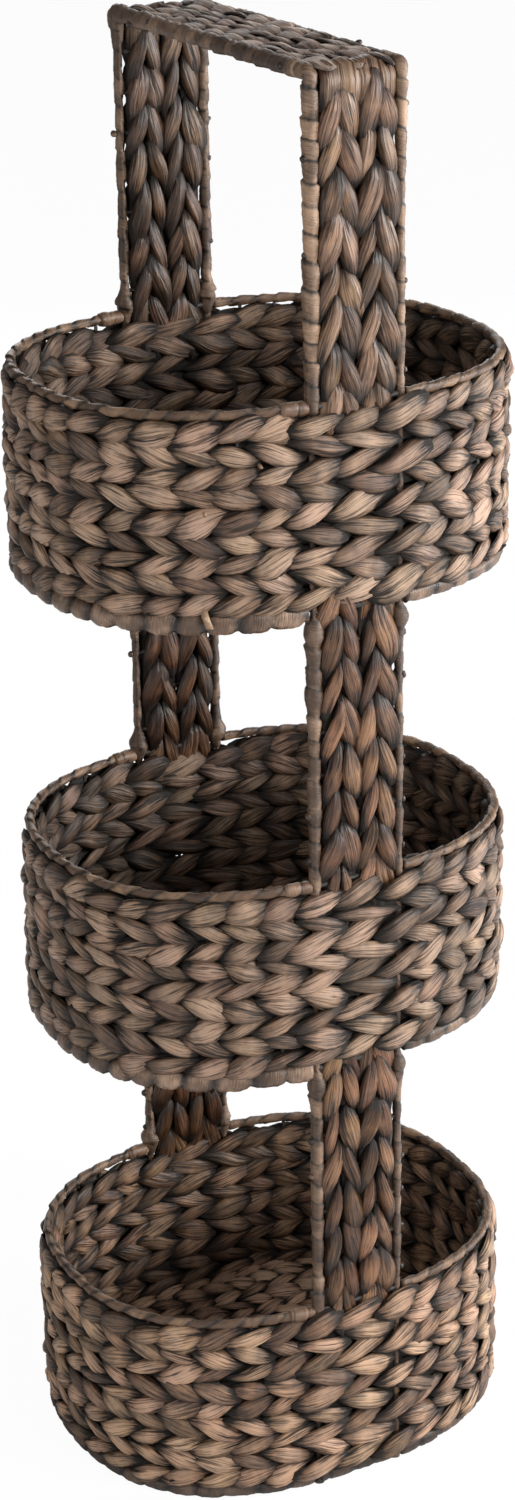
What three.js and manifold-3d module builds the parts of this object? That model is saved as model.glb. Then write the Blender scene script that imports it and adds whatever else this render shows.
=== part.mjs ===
// Three-tier storage tower: three oval baskets woven from flat leaf strands round wire stakes,
// carried by a welded wire arch that is woven over and is also the handle.
// Millimetres, +Z up. The origin is on the floor under the middle of the tower,
// X runs along the baskets and the front faces -Y.
import * as THREE from "three";
import Module from "manifold-3d";

// Plan of every basket, on the centreline of its hoops
const HOOP_LENGTH = 300;
const HOOP_DEPTH = 249;
const OVAL_EXPONENT = 2.43; // 2 would be an ellipse, more is squarer

// Heights
const TIER_NAMES = ["bottom", "middle", "top"];
const TIER_PITCH = 305;
const BASKET_HEIGHT = 130.5; // base hoop to rim hoop
const HANDLE_RISE = 192.5; // top rim hoop to the rods of the handle

// Wires, with the leaf that is wound round those that show
const BASE_HOOP_THICKNESS = 8;
const RIM_HOOP_THICKNESS = 7;
const ARCH_ROD_THICKNESS = 6.5;
const STAKE_THICKNESS = 2.5;
const RUNG_THICKNESS = 3;

// Arch
const ARCH_WIDTH = 59; // rod centre to rod centre
const HANDLE_BEND_RADIUS = 12;
const RUNG_PITCH = 27;

// Weave
const STAKES_PER_END = 16; // round each end of a basket, from the front rod to the back rod
const COURSE_COUNT = 9;
const STRAND_THICKNESS = 4;
const PLAITS_PER_PANEL = 2;
const PLAIT_THICKNESS = 4;
const PLAIT_LEAD = 4; // straight start and end of a plait, square to the hoop that it meets
const FLOOR_MAT_THICKNESS = 8;

// Clearances
const FIT = 0.3; // between pieces that touch
const COURSE_GAP = 0.4; // from one course to the next
const PLAIT_GAP = 0.8; // from plait to plait, and from plait to rod
const RIM_GAP = 2.5; // daylight between the top course and the rim hoop

// Facets
const HOOP_SIDES = 6;
const HOOP_STEPS = 12;
const ROD_SIDES = 8;
const WIRE_SIDES = 4;
const BEND_STEPS = 4;
const MAT_STEPS = 12;
const TAUTENING_STEPS = 5;

// Colours
const LEAF_BROWN = 0x6f5646;
const WINDING_BROWN = 0x86695a;
const MAT_BROWN = 0x4f3c32;
const STEEL_DARK = 0x35302c;

const X_AXIS = new THREE.Vector3(1, 0, 0);
const Z_AXIS = new THREE.Vector3(0, 0, 1);
const SIDES = { left: -1, right: 1 };
const FACES = { front: -1, back: 1 };

const wasm = await Module();
wasm.setup();

// Half the height of a round section, which always has a flat above and below.
const halfHeight = (thickness, sides) => (thickness / 2) * Math.cos(Math.PI / sides);

// Levels inside a basket, from the middle of its base hoop
const BASE_HOOP_TOP = halfHeight(BASE_HOOP_THICKNESS, HOOP_SIDES);
const RIM_HOOP_HALF = halfHeight(RIM_HOOP_THICKNESS, HOOP_SIDES);
const STAKE_HALF = halfHeight(STAKE_THICKNESS, WIRE_SIDES);
const FLOOR_WIRE_LEVEL = BASE_HOOP_TOP + FIT + STAKE_HALF;
const WEAVE_FLOOR = FLOOR_WIRE_LEVEL + STAKE_HALF + FIT;
const WEAVE_TOP = BASKET_HEIGHT - RIM_HOOP_HALF - RIM_GAP;
const COURSE_PITCH = (WEAVE_TOP - WEAVE_FLOOR) / COURSE_COUNT;
const STAKE_TOP = BASKET_HEIGHT - RIM_HOOP_HALF - FIT;

// Levels of the whole tower
const BASE_LEVEL = BASE_HOOP_TOP; // the base hoop's lower flat lies on the floor
const tierLevel = (tier) => BASE_LEVEL + tier * TIER_PITCH;
const HANDLE_LEVEL = tierLevel(TIER_NAMES.length - 1) + BASKET_HEIGHT + HANDLE_RISE;

// Plan line of the hoops from the front round the +X end to the back, where |x| is at least startX.
class BasketEnd extends THREE.Curve {
  constructor(startX) {
    super();
    this.arcLengthDivisions = 1000;
    this.reach = Math.acos((startX / (HOOP_LENGTH / 2)) ** (OVAL_EXPONENT / 2));
  }
  getPoint(share, target = new THREE.Vector3()) {
    const angle = this.reach * (2 * share - 1);
    const power = 2 / OVAL_EXPONENT;
    const along = Math.cos(angle) ** power;
    const across = Math.sign(angle) * Math.abs(Math.sin(angle)) ** power;
    return target.set((along * HOOP_LENGTH) / 2, (across * HOOP_DEPTH) / 2, 0);
  }
}

const mirrorX = (point) => new THREE.Vector3(-point.x, point.y, point.z);
const ARCH_HALF = ARCH_WIDTH / 2;
const ARCH_DEPTH = new BasketEnd(ARCH_HALF).getPoint(1).y; // the rods stand on the hoops' line

// Round section of a wire or hoop, with a flat facing along the across direction.
function roundSection(thickness, sides) {
  return Array.from({ length: sides }, (_, i) => {
    const angle = Math.PI / 2 + ((2 * i + 1) * Math.PI) / sides;
    return new THREE.Vector2(Math.cos(angle), Math.sin(angle)).multiplyScalar(thickness / 2);
  });
}

// Section of a flat strand: thickness in the plane of its path, width across it.
function flatSection(thickness, width) {
  const half = new THREE.Vector2(thickness, width).divideScalar(2);
  return [
    new THREE.Vector2(-half.x, -half.y),
    new THREE.Vector2(half.x, -half.y),
    new THREE.Vector2(half.x, half.y),
    new THREE.Vector2(-half.x, half.y),
  ];
}

// Section carried along a flat path and mitred at its corners; across is square to the path's plane.
function sweep(section, path, across, isLoop = false) {
  const last = path.length - 1;
  const sides = section.length;
  const positions = path.flatMap((point, i) => {
    const before = path[isLoop ? (i + last) % (last + 1) : Math.max(i - 1, 0)];
    const after = path[isLoop ? (i + 1) % (last + 1) : Math.min(i + 1, last)];
    const leaving = after.clone().sub(i === last && !isLoop ? before : point).normalize();
    const arriving = point.clone().sub(before).normalize();
    const along = arriving.add(leaving).normalize();
    const mitred = across.clone().cross(along).divideScalar(along.dot(leaving));
    return section.flatMap((corner) =>
      point.clone().addScaledVector(mitred, corner.x).addScaledVector(across, corner.y).toArray(),
    );
  });
  const triangles = [];
  for (let ring = 0; ring < (isLoop ? last + 1 : last); ring += 1) {
    const next = (ring + 1) % (last + 1);
    for (let side = 0; side < sides; side += 1) {
      const turn = (side + 1) % sides;
      const [a, b] = [ring * sides + side, ring * sides + turn];
      const [c, d] = [next * sides + turn, next * sides + side];
      triangles.push(a, b, c, a, c, d);
    }
  }
  for (let side = 1; side < sides - 1 && !isLoop; side += 1) {
    triangles.push(0, side + 1, side);
    triangles.push(last * sides, last * sides + side, last * sides + side + 1);
  }
  return geometryFrom(new Float32Array(positions), new Uint32Array(triangles));
}

function geometryFrom(positions, triangles) {
  const geometry = new THREE.BufferGeometry();
  geometry.setAttribute("position", new THREE.BufferAttribute(positions, 3));
  geometry.setIndex(new THREE.BufferAttribute(triangles, 1));
  return geometry;
}

// Wires welded where they cross, as one piece.
function weld(wires) {
  const solids = wires.map(
    (wire) =>
      new wasm.Manifold(
        new wasm.Mesh({
          numProp: 3,
          vertProperties: wire.getAttribute("position").array,
          triVerts: wire.index.array,
        }),
      ),
  );
  const joined = solids.reduce((sum, solid) => sum.add(solid)).getMesh();
  return geometryFrom(joined.vertProperties, joined.triVerts);
}

function piece(name, geometry, color, roughness, metalness) {
  const look = { color, roughness, metalness, flatShading: true };
  const mesh = new THREE.Mesh(geometry, new THREE.MeshStandardMaterial(look));
  mesh.name = name;
  return mesh;
}

const leafPiece = (name, geometry, color) => piece(name, geometry, color, 0.7, 0);
const wirePiece = (name, geometry) => piece(name, geometry, STEEL_DARK, 0.5, 0.8);

// Places round a basket where a course meets a stake or a rod, counter-clockwise from the front.
const stations = (() => {
  const end = new BasketEnd(ARCH_HALF);
  const gaps = STAKES_PER_END + 1;
  const rightEnd = Array.from({ length: gaps + 1 }, (_, i) => {
    const tangent = end.getTangentAt(i / gaps);
    const isRod = i === 0 || i === gaps;
    return {
      point: end.getPointAt(i / gaps),
      outward: new THREE.Vector3(tangent.y, -tangent.x, 0),
      isRod,
    };
  });
  const leftEnd = rightEnd
    .map(({ point, outward, isRod }) => ({
      point: mirrorX(point),
      outward: mirrorX(outward),
      isRod,
    }))
    .reverse();
  const middle = (face) => ({
    point: new THREE.Vector3(0, (face * HOOP_DEPTH) / 2, 0),
    outward: new THREE.Vector3(0, face, 0),
    isRod: false,
  });
  return [middle(FACES.front), ...rightEnd, middle(FACES.back), ...leftEnd];
})();

function distanceToLine(point, start, end) {
  const line = end.clone().sub(start);
  return line.clone().cross(point.clone().sub(start)).length() / line.length();
}

// How far a strand's middle stands off each stake as it passes outside one stake and inside the next,
// drawn taut until it just clears them all; phase 0 starts outside the front stake, phase 1 inside.
function courseOffsets(phase) {
  const count = stations.length;
  const clearances = stations.map(({ isRod }) => {
    const thickness = isRod ? ARCH_ROD_THICKNESS : STAKE_THICKNESS;
    return thickness / 2 + FIT + STRAND_THICKNESS / 2;
  });
  let offsets = clearances;
  for (let step = 0; step < TAUTENING_STEPS; step += 1) {
    const path = coursePath(offsets, phase);
    offsets = offsets.map((offset, i) => {
      const { point } = stations[i];
      const arriving = distanceToLine(point, path[(i + count - 1) % count], path[i]);
      const leaving = distanceToLine(point, path[i], path[(i + 1) % count]);
      return (offset * clearances[i]) / Math.min(arriving, leaving);
    });
  }
  return offsets;
}

function coursePath(offsets, phase) {
  return stations.map((station, i) => {
    const way = (i + phase) % 2 ? -1 : 1;
    return station.point.clone().addScaledVector(station.outward, way * offsets[i]);
  });
}

const courseOffsetsByPhase = [courseOffsets(0), courseOffsets(1)];
const WALL_REACH = Math.max(...courseOffsetsByPhase.flat()) + STRAND_THICKNESS;

// One round of weaving: a flat strand that passes outside and inside the stakes by turns.
function wallCourse(tierName, course) {
  const phase = course % 2;
  const section = flatSection(STRAND_THICKNESS, COURSE_PITCH - COURSE_GAP);
  const path = coursePath(courseOffsetsByPhase[phase], phase);
  const mesh = leafPiece(
    `${tierName}_course_${course + 1}`,
    sweep(section, path, Z_AXIS, true),
    LEAF_BROWN,
  );
  mesh.position.z = WEAVE_FLOOR + (course + 0.5) * COURSE_PITCH;
  return mesh;
}

// Leaf-wound hoop wire round one end of a basket, butted against the rods of the arch.
function hoop(name, side, thickness, level) {
  const end = new BasketEnd(ARCH_HALF + ARCH_ROD_THICKNESS / 2 + FIT);
  const points = Array.from({ length: HOOP_STEPS + 1 }, (_, i) => end.getPointAt(i / HOOP_STEPS));
  const path = side < 0 ? points.map(mirrorX) : points;
  const mesh = leafPiece(
    name,
    sweep(roundSection(thickness, HOOP_SIDES), path, Z_AXIS),
    WINDING_BROWN,
  );
  mesh.position.z = level;
  return mesh;
}

// Bent wire that stands as a stake in the front, crosses under the floor and stands in the back.
function stakeWire({ x, y }) {
  const path = [
    new THREE.Vector3(x, y, STAKE_TOP),
    new THREE.Vector3(x, y, FLOOR_WIRE_LEVEL),
    new THREE.Vector3(x, -y, FLOOR_WIRE_LEVEL),
    new THREE.Vector3(x, -y, STAKE_TOP),
  ];
  return sweep(roundSection(STAKE_THICKNESS, WIRE_SIDES), path, X_AXIS);
}

// Stake wires of a basket, welded to one wire along the middle of the floor.
function stakeCage(tierName) {
  const front = stations.filter((station) => !station.isRod && station.point.y < 0);
  const tip = Math.max(...front.map((station) => station.point.x));
  const spine = sweep(
    roundSection(STAKE_THICKNESS, WIRE_SIDES),
    [-tip, tip].map((x) => new THREE.Vector3(x, 0, FLOOR_WIRE_LEVEL)),
    Z_AXIS,
  );
  const stakeWires = front.map((station) => stakeWire(station.point));
  return wirePiece(`${tierName}_stake_cage`, weld([spine, ...stakeWires]));
}

// Woven floor that lies on the stake wires inside the wall.
function floorMat(tierName) {
  const end = new BasketEnd(ARCH_HALF);
  const rightEnd = Array.from({ length: MAT_STEPS + 1 }, (_, i) => {
    const tangent = end.getTangentAt(i / MAT_STEPS);
    const inward = new THREE.Vector3(-tangent.y, tangent.x, 0);
    return end.getPointAt(i / MAT_STEPS).addScaledVector(inward, WALL_REACH);
  });
  const outline = [...rightEnd, ...rightEnd.map(mirrorX).reverse()];
  const shape = new THREE.Shape(outline.map((point) => new THREE.Vector2(point.x, point.y)));
  const geometry = new THREE.ExtrudeGeometry(shape, {
    depth: FLOOR_MAT_THICKNESS,
    bevelEnabled: false,
  });
  const mesh = leafPiece(`${tierName}_floor_mat`, geometry, MAT_BROWN);
  mesh.position.z = WEAVE_FLOOR;
  return mesh;
}

function basket(tierName) {
  const group = new THREE.Group();
  group.add(stakeCage(tierName), floorMat(tierName));
  for (const [sideName, side] of Object.entries(SIDES)) {
    group.add(hoop(`${tierName}_${sideName}_base_hoop`, side, BASE_HOOP_THICKNESS, 0));
    group.add(hoop(`${tierName}_${sideName}_rim_hoop`, side, RIM_HOOP_THICKNESS, BASKET_HEIGHT));
  }
  for (let course = 0; course < COURSE_COUNT; course += 1) group.add(wallCourse(tierName, course));
  return group;
}

// Middle points of equal gaps of about the rung pitch between two levels or depths.
function rungPlaces(from, to) {
  const gaps = Math.round(Math.abs(to - from) / RUNG_PITCH);
  return Array.from({ length: gaps }, (_, i) => from + ((i + 0.5) * (to - from)) / gaps);
}

// Open stretches of the uprights: over a rim hoop, up to the next base hoop or to the handle's bend
const panelFoot = (tier) => tierLevel(tier) + BASKET_HEIGHT + RIM_HOOP_HALF + FIT;
const panelHead = (tier) => tierLevel(tier + 1) - BASE_HOOP_TOP - FIT;
const BEND_LEVEL = HANDLE_LEVEL - HANDLE_BEND_RADIUS;
const BEND_DEPTH = ARCH_DEPTH - HANDLE_BEND_RADIUS;
const HANDLE_FOOT = panelFoot(TIER_NAMES.length - 1);
const PANEL_NAMES = ["lower", "upper"];

// Line of one rod: up the front, over the handle and down the back.
function archPath() {
  const bend = Array.from({ length: BEND_STEPS + 1 }, (_, i) => {
    const angle = (i / BEND_STEPS) * (Math.PI / 2);
    const depth = BEND_DEPTH + HANDLE_BEND_RADIUS * Math.cos(angle);
    return new THREE.Vector3(0, depth, BEND_LEVEL + HANDLE_BEND_RADIUS * Math.sin(angle));
  });
  const back = [new THREE.Vector3(0, ARCH_DEPTH, 0), ...bend];
  const front = back.map((point) => new THREE.Vector3(0, -point.y, point.z)).reverse();
  return [...back, ...front];
}

// Cross wire from rod to rod at a depth and level.
function rung(depth, level, thickness, sides) {
  const ends = [-ARCH_HALF, ARCH_HALF].map((x) => new THREE.Vector3(x, depth, level));
  return sweep(roundSection(thickness, sides), ends, Z_AXIS);
}

// Two bent rods joined by rungs; the rungs at a basket's base and rim close its hoops.
function archFrame() {
  const rods = Object.values(SIDES).map((side) => {
    const path = archPath().map((point) => point.setX(side * ARCH_HALF));
    return sweep(roundSection(ARCH_ROD_THICKNESS, ROD_SIDES), path, X_AXIS);
  });
  const thinRung = (depth, level) => rung(depth, level, RUNG_THICKNESS, WIRE_SIDES);
  const rungs = rungPlaces(-BEND_DEPTH, BEND_DEPTH).map((depth) => thinRung(depth, HANDLE_LEVEL));
  for (const face of Object.values(FACES)) {
    const depth = face * ARCH_DEPTH;
    TIER_NAMES.forEach((_, tier) => {
      rungs.push(rung(depth, tierLevel(tier), BASE_HOOP_THICKNESS, HOOP_SIDES));
      rungs.push(rung(depth, tierLevel(tier) + BASKET_HEIGHT, RIM_HOOP_THICKNESS, HOOP_SIDES));
    });
    const levels = PANEL_NAMES.flatMap((_, tier) => rungPlaces(panelFoot(tier), panelHead(tier)));
    levels.push(...rungPlaces(HANDLE_FOOT, BEND_LEVEL));
    rungs.push(...levels.map((level) => thinRung(depth, level)));
  }
  return wirePiece("arch_frame", weld([...rods, ...rungs]));
}

// Plait of leaves as a flat strip between the rods, carried along a path.
const PLAIT_WIDTH = (ARCH_WIDTH - ARCH_ROD_THICKNESS - PLAIT_GAP) / PLAITS_PER_PANEL - PLAIT_GAP;
const PLAIT_STANDOFF = RUNG_THICKNESS / 2 + FIT + PLAIT_THICKNESS / 2;
function plait(name, column, path) {
  const section = flatSection(PLAIT_THICKNESS, PLAIT_WIDTH);
  const mesh = leafPiece(name, sweep(section, path, X_AXIS), LEAF_BROWN);
  mesh.position.x = (column - (PLAITS_PER_PANEL - 1) / 2) * (PLAIT_WIDTH + PLAIT_GAP);
  return mesh;
}

// Plaits of the panel above one tier, in front of one rung and behind the next by turns.
function panelPlaits(tier, faceName) {
  const face = FACES[faceName];
  const [foot, head] = [panelFoot(tier), panelHead(tier)];
  return Object.keys(SIDES).map((sideName, column) => {
    const at = (standoff, level) => new THREE.Vector3(0, face * (ARCH_DEPTH + standoff), level);
    const waves = rungPlaces(foot, head).map((level, i) =>
      at((i + column) % 2 ? PLAIT_STANDOFF : -PLAIT_STANDOFF, level),
    );
    const name = `${faceName}_${PANEL_NAMES[tier]}_${sideName}_plait`;
    const start = [at(0, foot), at(0, foot + PLAIT_LEAD)];
    const finish = [at(0, head - PLAIT_LEAD), at(0, head)];
    return plait(name, column, [...start, ...waves, ...finish]);
  });
}

// Plaits of the handle, from the front rim over the top to the back rim.
function handlePlaits() {
  const levels = rungPlaces(HANDLE_FOOT, BEND_LEVEL);
  const depths = rungPlaces(-BEND_DEPTH, BEND_DEPTH);
  const corner = HANDLE_BEND_RADIUS * Math.SQRT1_2;
  return Object.keys(SIDES).map((sideName, column) => {
    const standoff = (i) => ((i + column) % 2 ? PLAIT_STANDOFF : -PLAIT_STANDOFF);
    const upright = (face) => [
      new THREE.Vector3(0, face * ARCH_DEPTH, HANDLE_FOOT),
      new THREE.Vector3(0, face * ARCH_DEPTH, HANDLE_FOOT + PLAIT_LEAD),
      ...levels.map((z, i) => new THREE.Vector3(0, face * (ARCH_DEPTH + standoff(i)), z)),
      new THREE.Vector3(0, face * (BEND_DEPTH + corner), BEND_LEVEL + corner),
    ];
    const bridge = depths.map((y, i) => new THREE.Vector3(0, y, HANDLE_LEVEL + standoff(i)));
    const path = [...upright(FACES.front), ...bridge, ...upright(FACES.back).reverse()];
    return plait(`handle_${sideName}_plait`, column, path);
  });
}

const tower = new THREE.Group();
tower.add(archFrame(), ...handlePlaits());
TIER_NAMES.forEach((tierName, tier) => {
  const group = basket(tierName);
  group.position.z = tierLevel(tier);
  tower.add(group);
});
PANEL_NAMES.forEach((_, tier) => {
  for (const faceName of Object.keys(FACES)) tower.add(...panelPlaits(tier, faceName));
});

export default tower;
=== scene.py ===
import math

import bpy
import numpy as np
from mathutils import Matrix


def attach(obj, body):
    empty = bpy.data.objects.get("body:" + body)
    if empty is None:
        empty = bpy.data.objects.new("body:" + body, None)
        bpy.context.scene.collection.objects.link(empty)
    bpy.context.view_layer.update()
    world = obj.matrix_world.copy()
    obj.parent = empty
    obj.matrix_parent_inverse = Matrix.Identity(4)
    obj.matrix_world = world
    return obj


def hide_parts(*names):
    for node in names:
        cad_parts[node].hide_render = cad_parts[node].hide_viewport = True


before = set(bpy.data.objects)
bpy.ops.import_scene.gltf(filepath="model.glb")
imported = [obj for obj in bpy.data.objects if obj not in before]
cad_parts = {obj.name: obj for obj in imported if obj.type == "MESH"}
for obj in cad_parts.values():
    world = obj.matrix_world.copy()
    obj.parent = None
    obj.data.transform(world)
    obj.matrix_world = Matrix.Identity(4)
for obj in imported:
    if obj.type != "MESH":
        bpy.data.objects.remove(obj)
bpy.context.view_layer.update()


# Camera: stands to the left of the front and looks down on the tower, at the photograph's place.
# The picture is 515 by 1500, so the lens is given for its height.
AZIMUTH, ELEVATION, ROLL = math.radians(-27.81), math.radians(22.31), -0.01454
AIM = np.array([-0.00242, 0.00128, 0.47957])
DISTANCE = 2.02148
PICTURE_HEIGHT, FOCAL_PIXELS = 1500, 3121.88

camera_back = np.array([
    math.sin(AZIMUTH) * math.cos(ELEVATION),
    -math.cos(AZIMUTH) * math.cos(ELEVATION),
    math.sin(ELEVATION),
])
level_right = np.array([math.cos(AZIMUTH), math.sin(AZIMUTH), 0.0])
level_up = np.cross(camera_back, level_right)
camera_right = math.cos(ROLL) * level_right + math.sin(ROLL) * level_up
camera_up = math.cos(ROLL) * level_up - math.sin(ROLL) * level_right
lens = bpy.data.cameras.new("photo_camera")
lens.sensor_fit = "VERTICAL"
lens.sensor_height = 36.0
lens.lens = lens.sensor_height * FOCAL_PIXELS / PICTURE_HEIGHT
camera = bpy.data.objects.new("photo_camera", lens)
bpy.context.scene.collection.objects.link(camera)
stand = np.column_stack([camera_right, camera_up, camera_back, AIM + DISTANCE * camera_back])
camera.matrix_world = Matrix([*stand.tolist(), [0.0, 0.0, 0.0, 1.0]])
bpy.context.scene.camera = camera


# Studio: a wide white floor, an even white surround and five large soft lamps: a key lamp in front of the
# tower, to the right of the camera, a stronger one at its right side, and weak ones to the left, overhead
# and behind.
class Tint:
    """A value in a material's nodes. Arithmetic on it adds Math nodes, and node() adds any other kind."""

    def __init__(self, tree, socket=None):
        self.tree = tree
        self.socket = socket

    def node(self, kind, settings=None, sockets=None, result=0):
        """Adds a node, sets its settings first and then its sockets, and returns one of its outputs."""
        made = self.tree.nodes.new(kind)
        for key, value in (settings or {}).items():
            if key == "stops":
                ramp = made.color_ramp.elements
                while len(ramp) < len(value):
                    ramp.new(0.5)
                for stop, (place, colour) in zip(ramp, value):
                    stop.position = place
                    stop.color = (*colour, 1.0)
            else:
                setattr(made, key, value)
        for key, value in (sockets or {}).items():
            if isinstance(value, Tint):
                self.tree.links.new(value.socket, made.inputs[key])
            else:
                made.inputs[key].default_value = value
        return Tint(self.tree, made.outputs[result] if len(made.outputs) else None)

    def _maths(self, operation, first, second):
        return self.node("ShaderNodeMath", {"operation": operation}, {0: first, 1: second})

    def __add__(self, other):
        return self._maths("ADD", self, other)

    def __radd__(self, other):
        return self._maths("ADD", other, self)

    def __sub__(self, other):
        return self._maths("SUBTRACT", self, other)

    def __rsub__(self, other):
        return self._maths("SUBTRACT", other, self)

    def __mul__(self, other):
        return self._maths("MULTIPLY", self, other)

    def __rmul__(self, other):
        return self._maths("MULTIPLY", other, self)

    def floor(self):
        return self._maths("FLOOR", self, 0.0)

    def fraction(self):
        return self._maths("FRACT", self, 0.0)

    def step(self, low, high):
        """0 below low, 1 above high, smooth between them."""
        return self.node("ShaderNodeMapRange", {"interpolation_type": "SMOOTHSTEP"},
                         {0: self, 1: low, 2: high})

    def mix(self, first, second):
        """Colour first where this value is 0, second where it is 1."""
        return self.node("ShaderNodeMix", {"data_type": "RGBA"}, {0: self, 6: first, 7: second}, 2)


def new_finish(name):
    """An empty node material, and a Tint to start its nodes from."""
    material = bpy.data.materials.new(name)
    material.use_nodes = True
    material.node_tree.nodes.clear()
    return material, Tint(material.node_tree)


FLOOR_REACH = 14.0
floor_mesh = bpy.data.meshes.new("studio_floor")
corners = FLOOR_REACH * np.array([[-1, -1, 0], [1, -1, 0], [1, 1, 0], [-1, 1, 0]])
floor_mesh.from_pydata(corners.tolist(), [], [[0, 1, 2, 3]])
studio_floor = bpy.data.objects.new("studio_floor", floor_mesh)
bpy.context.scene.collection.objects.link(studio_floor)
floor_finish, paint = new_finish("white_floor")
camera_sees = paint.node("ShaderNodeLightPath", result="Is Camera Ray")
lit = paint.node("ShaderNodeBsdfDiffuse", None, {"Color": (0.9, 0.9, 0.9, 1.0)})
bright = paint.node("ShaderNodeEmission", None, {"Color": (1.0, 1.0, 1.0, 1.0), "Strength": 1.0})
shown = paint.node("ShaderNodeMixShader", None, {0: camera_sees * 0.96, 1: lit, 2: bright})
paint.node("ShaderNodeOutputMaterial", None, {"Surface": shown})
floor_mesh.materials.append(floor_finish)

surround = bpy.data.worlds.new("white_surround")
surround.use_nodes = True
surround.node_tree.nodes.clear()
sky = Tint(surround.node_tree)
direct = sky.node("ShaderNodeLightPath", result="Is Camera Ray")
ambient = sky.node("ShaderNodeBackground", None, {"Color": (0.97, 0.98, 1.0, 1.0), "Strength": 0.24})
white = sky.node("ShaderNodeBackground", None, {"Color": (1.0, 1.0, 1.0, 1.0), "Strength": 1.0})
seen = sky.node("ShaderNodeMixShader", None, {0: direct, 1: ambient, 2: white})
sky.node("ShaderNodeOutputWorld", None, {"Surface": seen})
bpy.context.scene.world = surround
bpy.context.scene.view_settings.view_transform = "Standard"


def unit(arrows):
    """Arrows of length 1."""
    return arrows / np.linalg.norm(arrows, axis=-1, keepdims=True)


def soft_lamp(name, place, power, size):
    """A round area lamp at a place, turned to the middle of the tower."""
    lamp = bpy.data.lights.new(name, "AREA")
    lamp.shape = "DISK"
    lamp.energy = power
    lamp.size = size
    holder = bpy.data.objects.new(name, lamp)
    bpy.context.scene.collection.objects.link(holder)
    back = unit(np.array(place) - AIM)
    right = unit(np.cross([0.0, 0.0, 1.0], back))
    turn = np.column_stack([right, np.cross(back, right), back, place])
    holder.matrix_world = Matrix([*turn.tolist(), [0.0, 0.0, 0.0, 1.0]])


soft_lamp("key_lamp", (1.55, -2.50, 1.30), 59.0, 0.8)
soft_lamp("fill_lamp", (-2.6, -1.0, 1.0), 34.0, 1.6)
soft_lamp("top_lamp", (0.6, -1.7, 2.6), 30.0, 1.2)
soft_lamp("side_lamp", (2.6, -1.0, 1.1), 116.0, 1.2)
soft_lamp("back_lamp", (1.4, 2.6, 1.2), 20.0, 1.6)


# Arch: two bent wires, from the floor up the front, over the handle and down the back, each wound with
# strips of leaf whose edges show as slanting seams, paler ones at the front of the handle. Thin rungs join
# the wires and carry the plaits, and their twisted ends stand out beside the wires as small ties.
ACROSS = np.array([1.0, 0.0, 0.0])
ROD_SPACING = 0.0295
ROD_DEPTH = 0.12351
HANDLE_LEVEL = 0.93646
BEND_RADIUS, RUNG_CLEAR = 0.004, 0.012


def distances(path):
    """How far along a path of straight pieces each of its points lies."""
    return np.concatenate([[0.0], np.cumsum(np.linalg.norm(np.diff(path, axis=0), axis=1))])


def follow(along, length, path, period=None):
    """A path's points, or other values given at its points, at distances along it."""
    return np.stack([np.interp(along, length, path[:, axis], period=period) for axis in range(3)], -1)


def leaf_piece(name, parts, finish, slot, *nodes):
    """One mesh from sets of tubes. A set has rings of points for each tube, a leaf map with one extra
    column so that no face crosses its edge, and values for each point. Each tube's ends get a cap."""
    points, faces, maps, loads = [], [], [], {}
    start = 0
    for rings, leaf_map, values in parts:
        tubes, count, sides = rings.shape[:3]
        tube, ring, side = np.indices((tubes, count - 1, sides))
        turn = (side + 1) % sides
        here = (tube * count + ring) * sides + start
        ahead = here + sides
        quads = np.stack([here + side, here + turn, ahead + turn, ahead + side], -1)
        quad_maps = np.stack([leaf_map[tube, ring, side], leaf_map[tube, ring, side + 1],
                              leaf_map[tube, ring + 1, side + 1], leaf_map[tube, ring + 1, side]], -2)
        first = np.arange(tubes)[:, None] * count * sides + np.arange(sides)[::-1] + start
        last = np.arange(tubes)[:, None] * count * sides + (count - 1) * sides + np.arange(sides) + start
        points.append(rings.reshape(-1, 3))
        faces += quads.reshape(-1, 4).tolist() + first.tolist() + last.tolist()
        cap_maps = (leaf_map[:, 0, -2::-1], leaf_map[:, -1, :-1])
        maps += [face_map.reshape(-1, 2) for face_map in (quad_maps, *cap_maps)]
        for key, value in values.items():
            loads.setdefault(key, []).append(np.broadcast_to(value, rings.shape[:3]).ravel())
        start += tubes * count * sides
    mesh = bpy.data.meshes.new(name)
    mesh.from_pydata(np.concatenate(points).tolist(), [], faces)
    mesh.uv_layers.new(name="leaf").uv.foreach_set("vector", np.concatenate(maps).ravel())
    for key, value in loads.items():
        mesh.attributes.new(key, "FLOAT", "POINT").data.foreach_set("value", np.concatenate(value))
    mesh.shade_smooth()
    mesh.materials.append(finish)
    piece = bpy.data.objects.new(name, mesh)
    bpy.context.scene.collection.objects.link(piece)
    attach(piece, "root")
    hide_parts(*nodes)
    return piece


def resample(path, step):
    """Points at equal distances of about step along a path of straight pieces, and their distances."""
    length = distances(path)
    along = np.linspace(0.0, length[-1], max(int(length[-1] / step), 2) + 1)
    return follow(along, length, path), along


def ripple(along, wavelength, size, rng):
    """A smooth random value along a line: random heights at even places, joined by straight lines."""
    places = np.arange(along.min() - wavelength, along.max() + 2 * wavelength, wavelength)
    return np.interp(along, places, size * rng.uniform(-1, 1, len(places)))


WINDING_SIDES = 12
RINGS_PER_STRIP = 9
EVEN = ((0.0,), (1.0,))


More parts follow.
